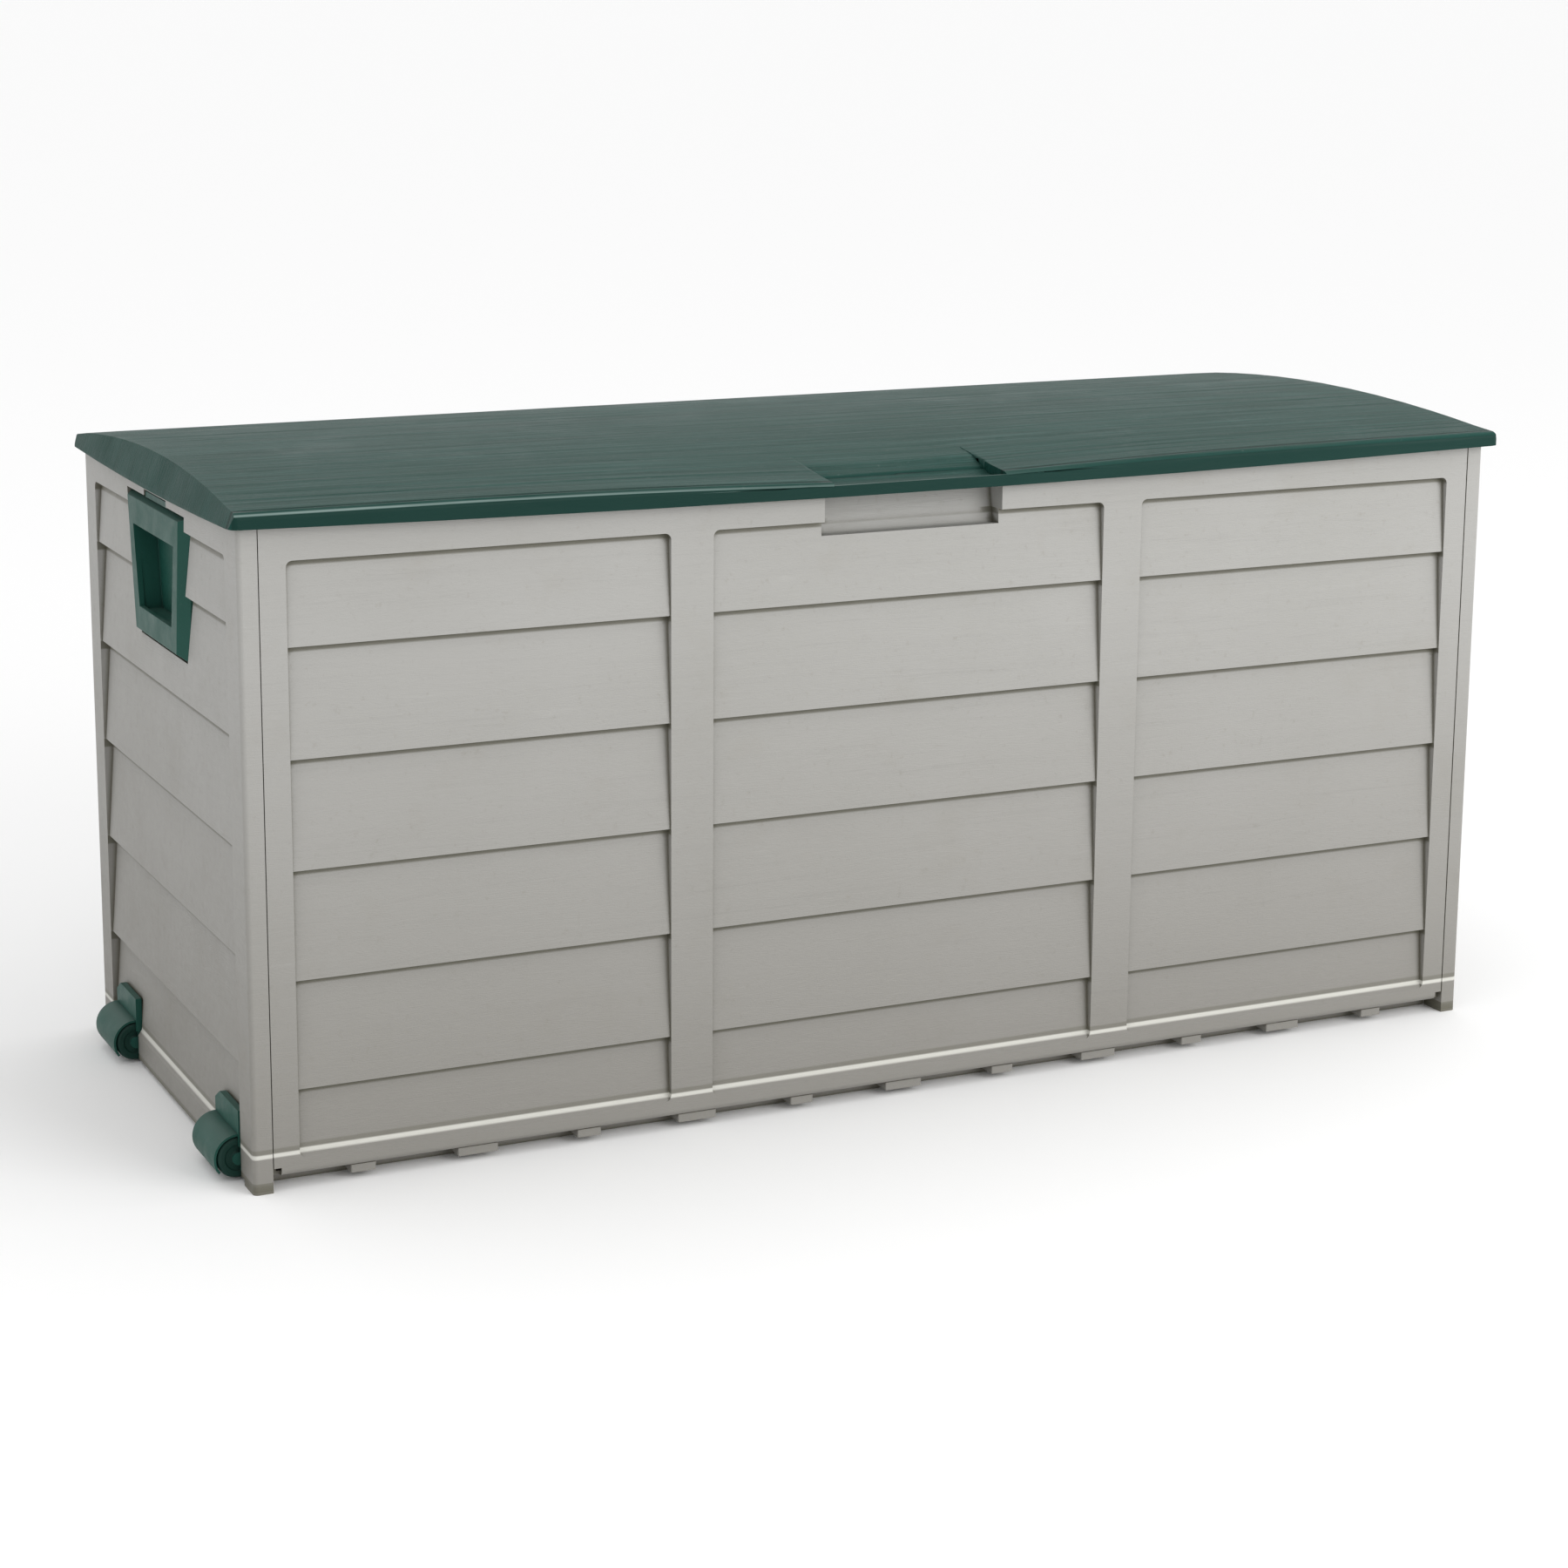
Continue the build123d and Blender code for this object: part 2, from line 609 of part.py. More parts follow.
with BuildPart() as hinge_screws:
    with BuildSketch(Plane.XZ.offset(-long_face - bracket_thick)):
        with Locations(*[(x, hinge_screw_z) for x in hinge_screw_xs]):
            Circle(screw_head_radius)
    extrude(amount=-screw_head)
    with BuildSketch(Plane.XZ.offset(-long_face - bracket_thick)):
        with Locations(*[(x, hinge_screw_z) for x in hinge_screw_xs]):
            Circle(screw_radius)
    extrude(amount=bracket_thick + 9)
    with BuildSketch(Plane.XZ.offset(-long_face - bracket_thick - screw_head)):
        with Locations(*[(x, hinge_screw_z) for x in hinge_screw_xs]):
            Rectangle(4.4, 0.9)
            Rectangle(0.9, 4.4)
    extrude(amount=1.2, mode=Mode.SUBTRACT)
hinge_screws.part.label = "hinge_screws"
export_step(hinge_screws.part, "parts/hinge_screws.step")


# ---------------------------------------------------------------- handles
def make_handle(side):
    """A bezel and pocket in one moulding; side is -1 on the left and +1 on the right."""
    with BuildPart() as handle:
        with BuildSketch(Plane.YZ.offset(side * handle_shoulder)):
            with BuildLine():
                Polyline(*trapezoid(*handle_rim), close=True)
            make_face()
        with BuildSketch(Plane.YZ.offset(side * handle_face)):
            with BuildLine():
                Polyline(*trapezoid(*handle_bezel), close=True)
            make_face()
        loft()
        with BuildSketch(Plane.YZ.offset(side * handle_shoulder)):
            with BuildLine():
                Polyline(*trapezoid(*handle_rim), close=True)
            make_face()
        extrude(amount=-side * (handle_shoulder - handle_neck))
        with BuildSketch(Plane.YZ.offset(side * handle_neck)):
            with BuildLine():
                Polyline(*trapezoid(*handle_shell), close=True)
            make_face()
        extrude(amount=-side * (handle_neck - handle_back))
        # Opening, and finger room that rises behind the top bar.
        with BuildSketch(Plane.YZ.offset(side * (handle_face + 1))):
            with BuildLine():
                Polyline(*trapezoid(*handle_opening), close=True)
            make_face()
        extrude(amount=-side * (handle_face + 1 - handle_back - skin), mode=Mode.SUBTRACT)
        with BuildSketch(Plane.YZ.offset(side * (handle_face - handle_front_wall))):
            with BuildLine():
                Polyline(*trapezoid(*handle_pocket), close=True)
            make_face()
        extrude(amount=-side * (handle_face - handle_front_wall - handle_back - skin), mode=Mode.SUBTRACT)
        # Clip in the notch of the rail, and hooks behind the boards.
        with Locations((side * (handle_shoulder + 3), 0, (clip_low + clip_high) / 2)):
            Box(4, clip_width, clip_high - clip_low)
        with Locations(*[(side * (handle_neck - 1), y, hook_z) for y in (-hook_y, hook_y)]):
            Box(3, 11, 20)
    return handle


left_handle = make_handle(-1)
left_handle.part.label = "left_handle"
export_step(left_handle.part, "parts/left_handle.step")

right_handle = make_handle(1)
right_handle.part.label = "right_handle"
export_step(right_handle.part, "parts/right_handle.step")


# ---------------------------------------------------------------- wheels
hood_low_angle = 216.0
hood_high_angle = 84.0
flange_low = 28.0
flange_high = 56.5
flange_out = 1.2
flange_cut = (13.0, 8.0)
flange_back = -546.1
boss_radius = 4.0
boss_end = -540.6
cheek_end = -536.0
cheek_low = 9.0
washer_head_radius = 6.0
left_face = -body_width / 2


def ray(angle, length):
    """A point in the XZ plane at an angle and a distance from the axle."""
    step = Vector(length, 0, 0).rotate(Axis.Z, angle)
    return (wheel_x + step.X, wheel_z + step.Y)


def hood_gap():
    """The part of the XZ plane where the hood is open: underneath and towards the box."""
    with BuildLine() as outline:
        Polyline((wheel_x, wheel_z), ray(hood_low_angle, 40), ray(290, 60), ray(0, 60),
                 ray(hood_high_angle, 40), close=True)
    return outline


for name, middle in housing_ys.items():
    with BuildPart() as wheel_housing:
        # Flange in front of the lowest board, with one cut corner.
        with BuildSketch(Plane.YZ.offset(left_face - flange_out)):
            with BuildLine():
                Polyline((middle - housing_half, flange_low), (middle + housing_half, flange_low),
                         (middle + housing_half, flange_high - flange_cut[1]),
                         (middle + housing_half - flange_cut[0], flange_high),
                         (middle - housing_half, flange_high), close=True)
            make_face()
        extrude(amount=flange_back - left_face + flange_out)
        # Room for the wheel behind the lower part of the flange.
        with BuildSketch(Plane.XZ.offset(-middle - wheel_half - clear)):
            with Locations((wheel_x, wheel_z)):
                Circle(hood_inner)
        extrude(amount=2 * (wheel_half + clear), mode=Mode.SUBTRACT)
        # Hood over the outer half of the wheel.
        with BuildSketch(Plane.XZ.offset(-middle - housing_half)):
            with Locations((wheel_x, wheel_z)):
                Circle(hood_outer)
                Circle(hood_inner, mode=Mode.SUBTRACT)
            add(hood_gap().line)
            make_face(mode=Mode.SUBTRACT)
        extrude(amount=housing_half + wheel_half)
        # Cheeks that carry the axle, and the closed rear end of the hood.
        for start in (middle - housing_half + cheek, middle + housing_half):
            with BuildSketch(Plane.XZ.offset(-start)):
                with Locations(((left_face + cheek_end) / 2, (cheek_low + wheel_z + hood_outer) / 2)):
                    Rectangle(cheek_end - left_face, wheel_z + hood_outer - cheek_low)
                with Locations((wheel_x, wheel_z)):
                    Circle(axle_radius + 2)
            extrude(amount=cheek)
        with BuildSketch(Plane.XZ.offset(-middle - housing_half)):
            with Locations((wheel_x, wheel_z)):
                Circle(hood_outer)
            add(hood_gap().line)
            make_face(mode=Mode.SUBTRACT)
        extrude(amount=cheek)
        # Screw bosses that pass through the board.
        with BuildSketch(Plane.YZ.offset(flange_back - 1)):
            with Locations((middle - housing_screw_gap / 2, housing_screw_z),
                           (middle + housing_screw_gap / 2, housing_screw_z)):
                Circle(boss_radius)
        extrude(amount=boss_end - flange_back + 1)
        with BuildSketch(Plane.YZ.offset(boss_end)):
            with Locations((middle - housing_screw_gap / 2, housing_screw_z),
                           (middle + housing_screw_gap / 2, housing_screw_z)):
                Circle(screw_radius)
        extrude(amount=-9, mode=Mode.SUBTRACT)
        with BuildSketch(Plane.XZ.offset(-middle - housing_half)):
            with Locations((wheel_x, wheel_z)):
                Circle(axle_radius)
        extrude(amount=2 * housing_half - axle_cap, mode=Mode.SUBTRACT)
    wheel_housing.part.label = f"wheel_housing_{name}"
    export_step(wheel_housing.part, f"parts/wheel_housing_{name}.step")

    with BuildPart() as wheel:
        with BuildSketch(Plane((wheel_x, middle, wheel_z))):
            bore = axle_radius + pin_play
            with Locations(((bore + wheel_radius) / 2, 0)):
                Rectangle(wheel_radius - bore, 2 * wheel_half)
            with Locations((7.5, -wheel_half), (7.5, wheel_half)):
                Rectangle(5, 2, mode=Mode.SUBTRACT)
            with Locations(*[(wheel_radius, groove) for groove in (-18, -6, 6, 18)]):
                Rectangle(1.6, 1.6, mode=Mode.SUBTRACT)
        revolve(axis=Axis((wheel_x, middle, wheel_z), (0, 1, 0)))
        rims = wheel.edges().filter_by(GeomType.CIRCLE)
        rims = rims.filter_by(lambda e: abs(e.radius - wheel_radius) < 0.01).sort_by(Axis.Y)
        fillet([rims[0], rims[-1]], radius=wheel_rim)
    wheel.part.label = f"wheel_{name}"
    export_step(wheel.part, f"parts/wheel_{name}.step")

    with BuildPart() as axle:
        with BuildSketch(Plane.XZ.offset(-middle - housing_half)):
            with Locations((wheel_x, wheel_z)):
                Circle(axle_radius)
        extrude(amount=2 * housing_half - axle_cap)
    axle.part.label = f"axle_{name}"
    export_step(axle.part, f"parts/axle_{name}.step")

with BuildPart() as housing_screws:
    housing_screw_spots = [(middle + offset, housing_screw_z) for middle in housing_ys.values()
                           for offset in (-housing_screw_gap / 2, housing_screw_gap / 2)]
    with BuildSketch(Plane.YZ.offset(boss_end)):
        with Locations(*housing_screw_spots):
            Circle(washer_head_radius)
    extrude(amount=screw_head)
    with BuildSketch(Plane.YZ.offset(boss_end)):
        with Locations(*housing_screw_spots):
            Circle(screw_radius)
    extrude(amount=-8.5)
housing_screws.part.label = "housing_screws"
export_step(housing_screws.part, "parts/housing_screws.step")
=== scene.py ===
import math

import bmesh
import bpy
from mathutils import Matrix, Vector


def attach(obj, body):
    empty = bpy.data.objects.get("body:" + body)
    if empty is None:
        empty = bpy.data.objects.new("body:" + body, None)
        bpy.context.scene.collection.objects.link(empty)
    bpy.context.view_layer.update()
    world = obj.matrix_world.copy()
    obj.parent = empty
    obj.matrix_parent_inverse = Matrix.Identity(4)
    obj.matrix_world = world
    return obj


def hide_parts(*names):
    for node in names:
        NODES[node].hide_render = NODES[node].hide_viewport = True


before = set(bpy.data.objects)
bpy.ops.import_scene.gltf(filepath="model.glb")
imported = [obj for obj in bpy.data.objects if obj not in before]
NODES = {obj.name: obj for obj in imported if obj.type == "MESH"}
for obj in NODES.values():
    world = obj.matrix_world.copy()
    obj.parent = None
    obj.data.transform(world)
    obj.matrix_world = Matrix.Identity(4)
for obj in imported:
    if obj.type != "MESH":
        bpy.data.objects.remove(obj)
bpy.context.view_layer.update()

MM = 0.001

# The view of the photograph, in metres and degrees.
CAMERA_PLACE = (-1.19814, -2.49571, 0.90240)
CAMERA_AZIMUTH = -25.53
CAMERA_ELEVATION = 11.75
CAMERA_ROLL = 0.40
LENS = 75.55
LENS_SHIFT = -0.0833

# Studio, in metres and watts.
FLOOR_RADIUS = 150.0
FLOOR_CORNERS = 96
LAMP_PLACE = (1.7, -3.0, 1.5)
LAMP_TARGET = (0.1, 0, 0.35)
LAMP_SIZE = (2.4, 1.8)
LAMP_POWER = 62.0

# Lapped boards, in metres: spacing of the laps, soft edge of their painted shadow and top of the sill.
LAP_PITCH = 0.08445
LAP_FADE = 0.0014
SILL_TOP = 0.0295
# Lower edge of the top rail, lower edge of the first lap and height of the painted shadow under each.
LONG_LAPS = (0.4804, 0.4159, 0.0052)
SIDE_LAPS = (0.4820, 0.4310, 0.0078)

# Lid, in millimetres.
LID_HALF = 558.0
LID_FRONT = -237.0
LID_SHOULDER = 523.2
LID_CROWN = 532.4
LID_CROWN_Y = -4.0
LID_CROWN_RUN = 185.0
LID_END_RELIEF = 544.0
LIP_LOW = 510.8
TOP_LOW = 514.0
FRONT_SAG = 7.6
SAG_HALF = 190.0
SAG_DEPTH = 110.0

# Grip scoop of the lid, in millimetres.
SCOOP_HALF = 76.0
SCOOP_WALL = -198.0
SCOOP_END = -154.5
SCOOP_FLOOR = 507.2
SCOOP_STEP = 4.6
SCOOP_STEP_RUN = 3.5
SCOOP_SLOPE_START = 3.0
SCOOP_SLOPE_RUN = 22.0
SCOOP_FADE = 8.0

# Bead, groove and drawn grain of the lid, in millimetres.
BEAD_RISE = 0.5
BEAD_Y = -232.0
BEAD_HALF = 3.0
GROOVE_DEPTH = 1.3
GROOVE_Y = -228.3
GROOVE_WIDE = 2.2
GRAIN_RISE = 0.16
GRAIN_PITCH = 5.5
GRAIN_MARGIN = 14.0


# ---------------------------------------------------------------- camera, floor and light
def make_camera():
    """A long lens level with the lid, turned to the front left corner of the box."""
    azimuth, elevation, roll = (math.radians(angle) for angle in (CAMERA_AZIMUTH, CAMERA_ELEVATION, CAMERA_ROLL))
    back = Vector((math.sin(azimuth) * math.cos(elevation),
                   -math.cos(azimuth) * math.cos(elevation),
                   math.sin(elevation)))
    right = (-back).cross(Vector((0, 0, 1))).normalized()
    up = right.cross(-back)
    right, up = (right * math.cos(roll) + up * math.sin(roll),
                 up * math.cos(roll) - right * math.sin(roll))
    data = bpy.data.cameras.new("camera")
    data.sensor_width = 36.0
    data.lens = LENS
    data.shift_y = LENS_SHIFT
    data.clip_end = 500
    camera = bpy.data.objects.new("camera", data)
    bpy.context.scene.collection.objects.link(camera)
    turn = Matrix((right, up, back)).transposed().to_4x4()
    camera.matrix_world = Matrix.Translation(CAMERA_PLACE) @ turn
    bpy.context.scene.camera = camera


def make_floor():
    """A wide pale disc, so that it meets the horizon in every view."""
    mesh = bpy.data.meshes.new("floor")
    angles = [2 * math.pi * i / FLOOR_CORNERS for i in range(FLOOR_CORNERS)]
    rim = [(FLOOR_RADIUS * math.cos(angle), FLOOR_RADIUS * math.sin(angle), 0) for angle in angles]
    mesh.from_pydata(rim, [], [list(range(FLOOR_CORNERS))])
    floor = bpy.data.objects.new("floor", mesh)
    bpy.context.scene.collection.objects.link(floor)
    material = bpy.data.materials.new("floor_paint")
    material.use_nodes = True
    shader = material.node_tree.nodes["Principled BSDF"]
    shader.inputs["Base Color"].default_value = (0.96, 0.96, 0.96, 1)
    shader.inputs["Roughness"].default_value = 0.9
    shader.inputs["Specular IOR Level"].default_value = 0.1
    mesh.materials.append(material)


def make_light():
    """An even white room with one broad soft lamp at the front right, above."""
    world = bpy.data.worlds.new("studio")
    bpy.context.scene.world = world
    world.use_nodes = True
    sky = world.node_tree.nodes["Background"]
    sky.inputs["Color"].default_value = (1, 1, 1, 1)
    sky.inputs["Strength"].default_value = 1.0
    panel = bpy.data.lights.new("key", "AREA")
    panel.shape = "RECTANGLE"
    panel.size, panel.size_y = LAMP_SIZE
    panel.energy = LAMP_POWER
    lamp = bpy.data.objects.new("key", panel)
    bpy.context.scene.collection.objects.link(lamp)
    lamp.rotation_mode = "QUATERNION"
    lamp.rotation_quaternion = (Vector(LAMP_PLACE) - Vector(LAMP_TARGET)).to_track_quat("Z", "Y")
    lamp.location = LAMP_PLACE
    bpy.context.scene.view_settings.view_transform = "Standard"


make_camera()
make_floor()
make_light()


# ---------------------------------------------------------------- materials
class Maker:
    """Builds one node material; each method adds nodes and returns their output."""

    def __init__(self, name):
        self.material = bpy.data.materials.new(name)
        self.material.use_nodes = True
        self.tree = self.material.node_tree
        self.shader = self.tree.nodes["Principled BSDF"]
        self.place = self.tree.nodes.new("ShaderNodeTexCoord").outputs["Object"]

    def link(self, value, socket):
        """Connects an output, or sets a constant."""
        if isinstance(value, bpy.types.NodeSocket):
            self.tree.links.new(value, socket)
        else:
            socket.default_value = value

    def stretched(self, scale):
        """Places scaled per axis, for marks longer in one direction."""
        node = self.tree.nodes.new("ShaderNodeMapping")
        node.inputs["Scale"].default_value = scale
        self.link(self.place, node.inputs["Vector"])
        return node.outputs["Vector"]

    def noise(self, scale, detail=2.0, rough=0.5, where=None, distortion=0.0):
        node = self.tree.nodes.new("ShaderNodeTexNoise")
        node.inputs["Scale"].default_value = scale
        node.inputs["Detail"].default_value = detail
        node.inputs["Roughness"].default_value = rough
        node.inputs["Distortion"].default_value = distortion
        self.link(where or self.place, node.inputs["Vector"])
        return node.outputs["Fac"]

    def ramp(self, value, low, high, out_low=0.0, out_high=1.0):
        """A straight, clamped ramp between two values."""
        node = self.tree.nodes.new("ShaderNodeMapRange")
        self.link(value, node.inputs["Value"])
        for name, number in (("From Min", low), ("From Max", high), ("To Min", out_low), ("To Max", out_high)):
            node.inputs[name].default_value = number
        return node.outputs["Result"]

    def maths(self, operation, first, second=0.0):
        node = self.tree.nodes.new("ShaderNodeMath")
        node.operation = operation
        self.link(first, node.inputs[0])
        self.link(second, node.inputs[1])
        return node.outputs["Value"]

    def times(self, first, second):
        return self.maths("MULTIPLY", first, second)

    def mix(self, factor, first, second):
        node = self.tree.nodes.new("ShaderNodeMix")
        node.data_type = "RGBA"
        self.link(factor, node.inputs["Factor"])
        self.link(first, node.inputs["A"])
        self.link(second, node.inputs["B"])
        return node.outputs["Result"]

    def crevice(self, distance):
        """How much other surfaces block the light: 0 in the open, 1 where a surface lies deep between others; it
        places painted shade.
        """
        node = self.tree.nodes.new("ShaderNodeAmbientOcclusion")
        node.samples = 8
        node.inputs["Distance"].default_value = distance
        return self.maths("SUBTRACT", 1.0, node.outputs["AO"])

    def part(self, axis):
        """One coordinate of the object, in metres."""
        parts = self.tree.nodes.new("ShaderNodeSeparateXYZ")
        self.link(self.place, parts.inputs["Vector"])
        return parts.outputs[axis]

    def upward(self):
        """0 on walls, 1 on surfaces that face up and catch dust."""
        shape = self.tree.nodes.new("ShaderNodeNewGeometry")
        parts = self.tree.nodes.new("ShaderNodeSeparateXYZ")
        self.link(shape.outputs["Normal"], parts.inputs["Vector"])
        return self.ramp(parts.outputs["Z"], 0.45, 0.95)

    def line(self, axis, place, width, core=0.0):
        """1 within core of a plane across the object, 0 at a distance of width from it."""
        away = self.maths("ABSOLUTE", self.maths("SUBTRACT", self.part(axis), place))
        return self.ramp(away, core, width, 1.0, 0.0)

    def lap_shadow(self, rail, first_lap, width):
        """Painted shadow under the rail and under each lap of the boards, only where the surface is set back."""
        below_rail = self.maths("SUBTRACT", rail, self.part("Z"))
        below_laps = self.maths("SUBTRACT", first_lap, self.part("Z"))
        below_lap = self.times(self.maths("FRACT", self.maths("DIVIDE", below_laps, LAP_PITCH)), LAP_PITCH)
        lines = []
        for depth, start in ((below_rail, below_rail), (below_lap, below_laps)):
            edge = self.ramp(depth, width - LAP_FADE, width, 1.0, 0.0)
            lines.append(self.times(edge, self.maths("GREATER_THAN", start, 0.0)))
        return self.times(self.maths("MAXIMUM", *lines), self.ramp(self.crevice(0.012), 0.05, 0.14))

    def bump(self, height, distance, strength=1.0, under=None):
        node = self.tree.nodes.new("ShaderNodeBump")
        node.inputs["Distance"].default_value = distance
        node.inputs["Strength"].default_value = strength
        self.link(height, node.inputs["Height"])
        if under is not None:
            self.link(under, node.inputs["Normal"])
        return node.outputs["Normal"]

    def finish(self, colour, roughness, normal, **fixed):
        """Connects the shader; fixed holds its constant inputs, with _ for each space."""
        self.link(colour, self.shader.inputs["Base Color"])
        self.link(roughness, self.shader.inputs["Roughness"])
        self.link(normal, self.shader.inputs["Normal"])
        for name, number in fixed.items():
            self.shader.inputs[name.replace("_", " ")].default_value = number
        return self.material


def shade(red, green, blue):
    """A colour given as it looks on a screen, from 0 to 255, as a linear one."""
    def linear(value):
        value /= 255
        return value / 12.92 if value <= 0.04045 else ((value + 0.055) / 1.055) ** 2.4
    return (linear(red), linear(green), linear(blue), 1)


def grey_plastic(name, laps=None):
    """Warm grey moulded plastic with faint clouds, specks and scuffs; painted shade and splash dirt towards the
    ground, painted shade in its joints, and on lapped panels a painted highlight along the sill.
    """
    m = Maker(name)
    cloud = m.noise(3.0, 3.0)
    blotch = m.noise(14.0, 4.0, 0.65)
    speck = m.noise(160.0, 3.0, 0.6)
    scuff = m.noise(7.0, 5.0, 0.7, m.stretched((1, 1, 9)), 0.4)
    colour = m.mix(m.ramp(cloud, 0.3, 0.7), shade(151, 150, 146), shade(157, 156, 153))
    colour = m.mix(m.ramp(blotch, 0.55, 0.8, 0.0, 0.35), colour, shade(145, 142, 134))
    colour = m.mix(m.ramp(speck, 0.62, 0.78, 0.0, 0.3), colour, shade(128, 124, 114))
    colour = m.mix(m.ramp(scuff, 0.64, 0.76, 0.0, 0.22), colour, shade(172, 171, 168))
    # Painted shade, darker towards the ground, with splash dirt near it.
    low_shade_and_splash = m.ramp(m.part("Z"), 0.02, 0.42, 1.0, 0.0)
    colour = m.mix(m.times(low_shade_and_splash, 0.7), colour, shade(116, 113, 106))
    # Painted shade in creases and hollows, tinted brown like grime.
    colour = m.mix(m.ramp(m.crevice(0.008), 0.24, 0.46, 0.0, 0.85), colour, shade(88, 85, 71))
    if laps:
        # Painted shadow under the rail and under each lap.
        colour = m.mix(m.times(m.lap_shadow(*laps), 0.8), colour, shade(86, 84, 70))
        # Painted highlight along the edge of the sill, with a darker line just above it.
        colour = m.mix(m.line("Z", SILL_TOP, 0.0022, 0.0010), colour, shade(196, 195, 188))
        sill_dark_line = m.line("Z", SILL_TOP + 0.0036, 0.0024, 0.0012)
        colour = m.mix(m.times(sill_dark_line, 0.5), colour, shade(96, 94, 82))
    # Moulded wood figure over a slight unevenness, under a fine grain.
    wood = m.noise(5.0, 2.0, 0.5, m.stretched((1, 1, 17)), 1.6)
    rings = m.maths("SINE", m.times(wood, 95.0))
    uneven = m.bump(m.noise(9.0, 1.0), 0.002, 0.25)
    normal = m.bump(m.noise(900.0, 2.0, 0.6), 0.00012, 0.6, m.bump(rings, 0.00009, 0.35, uneven))
    rough = m.maths("ADD", m.ramp(speck, 0.2, 0.8, 0.44, 0.56), m.ramp(blotch, 0.4, 0.8, 0.0, 0.1))
    return m.finish(colour, rough, normal, Specular_IOR_Level=0.35)


def lid_plastic():
    """Green moulded lid with a drawn wood grain along its length and dust in the grain; painted shade on its
    front face, in the groove and in creases, and a pale painted highlight along the front edge.
    """
    m = Maker("lid_green")
    fine = m.noise(6.0, 5.0, 0.65, m.stretched((1.2, 60, 8)), 0.6)
    broad = m.noise(3.0, 3.0, 0.55, m.stretched((0.9, 13, 4)), 0.8)
    dust = m.noise(11.0, 5.0, 0.7)
    speck = m.noise(210.0, 2.0, 0.6)
    top = m.upward()
    colour = m.mix(m.ramp(broad, 0.35, 0.65), shade(14, 56, 49), shade(20, 63, 56))
    # Light and dark streaks, dust and specks, on top only.
    for mark, tint in ((m.ramp(fine, 0.5, 0.72, 0.0, 0.55), shade(58, 98, 92)),
                       (m.ramp(fine, 0.46, 0.3, 0.0, 0.5), shade(10, 46, 40)),
                       (m.ramp(dust, 0.42, 0.75, 0.05, 0.32), shade(84, 98, 93)),
                       (m.ramp(speck, 0.66, 0.8, 0.0, 0.35), shade(104, 118, 112))):
        colour = m.mix(m.times(top, mark), colour, tint)
    # Painted shade on the front face, a painted highlight along its upper edge, and painted shade in the groove
    # behind the bead.
    front = m.line("Y", LID_FRONT * MM, 0.0026, 0.0018)
    colour = m.mix(m.times(front, m.ramp(top, 0.05, 0.3, 0.55, 0.0)), colour, shade(6, 34, 29))
    edge_highlight = m.times(m.times(m.ramp(top, 0.08, 0.3), front), m.line("X", -0.46, 0.62))
    colour = m.mix(m.times(edge_highlight, m.ramp(fine, 0.3, 0.6, 0.4, 0.9)), colour, shade(128, 146, 142))
    colour = m.mix(m.times(m.line("Y", GROOVE_Y * MM, 0.0036), 0.9), colour, shade(6, 32, 27))
    # Painted shade in creases and hollows.
    colour = m.mix(m.ramp(m.crevice(0.006), 0.3, 0.7, 0.0, 0.6), colour, shade(12, 42, 36))
    height = m.maths("ADD", fine, m.times(broad, 0.6))
    normal = m.bump(m.noise(800.0, 2.0, 0.6), 0.0001, 0.5, m.bump(height, 0.0011, 0.7))
    return m.finish(colour, m.ramp(dust, 0.3, 0.7, 0.42, 0.56), normal, Specular_IOR_Level=0.12)


def trim_plastic(name, dark, light):
    """Smooth green moulding with faint clouds, dusty patches, fine grain and painted shade in its joints and
    hollows.
    """
    m = Maker(name)
    cloud = m.noise(9.0, 4.0, 0.6)
    dust = m.noise(38.0, 5.0, 0.7)
    speck = m.noise(330.0, 2.0, 0.6)
    colour = m.mix(m.ramp(cloud, 0.3, 0.7), dark, light)
    colour = m.mix(m.times(m.upward(), m.ramp(dust, 0.35, 0.8, 0.1, 0.5)), colour, shade(84, 100, 94))
    colour = m.mix(m.ramp(speck, 0.68, 0.8, 0.0, 0.25), colour, shade(80, 100, 93))
    # Painted shade in creases and hollows.
    colour = m.mix(m.ramp(m.crevice(0.007), 0.3, 0.75, 0.0, 0.8), colour, shade(8, 26, 22))
    normal = m.bump(m.noise(800.0, 2.0, 0.6), 0.0001, 0.6, m.bump(cloud, 0.0012, 0.3))
    return m.finish(colour, m.ramp(dust, 0.3, 0.7, 0.38, 0.55), normal, Specular_IOR_Level=0.2)


def steel():
    """Zinc-plated steel with drawn marks and a few dull spots."""
    m = Maker("steel")
    rub = m.noise(60.0, 4.0, 0.6, m.stretched((1, 1, 8)))
    spot = m.noise(120.0, 4.0, 0.6)
    colour = m.mix(rub, shade(120, 120, 118), shade(160, 160, 158))
    colour = m.mix(m.ramp(spot, 0.6, 0.75, 0.0, 0.6), colour, shade(104, 96, 84))
    return m.finish(colour, m.ramp(spot, 0.3, 0.75, 0.25, 0.55), m.bump(rub, 0.0001, 0.5), Metallic=1.0)


# Each paint: its material, its slot and the radius of the moulded edges, in metres.
PAINTS = {
    "grey_plain": (grey_plastic("grey_panel"), "grey_panel", 0.0012),
    "grey_long": (grey_plastic("grey_long", LONG_LAPS), "grey_panel", 0.0012),
    "grey_side": (grey_plastic("grey_side", SIDE_LAPS), "grey_panel", 0.0012),
    "lid": (lid_plastic(), "green_lid", 0.0016),
    "trim": (trim_plastic("trim_green", shade(22, 68, 59), shade(28, 76, 66)), "green_trim", 0.0012),
    "wheel": (trim_plastic("wheel_green", shade(12, 46, 39), shade(17, 53, 45)), "wheel_green", 0.0006),
    "steel": (steel(), "steel", 0.0003),
}

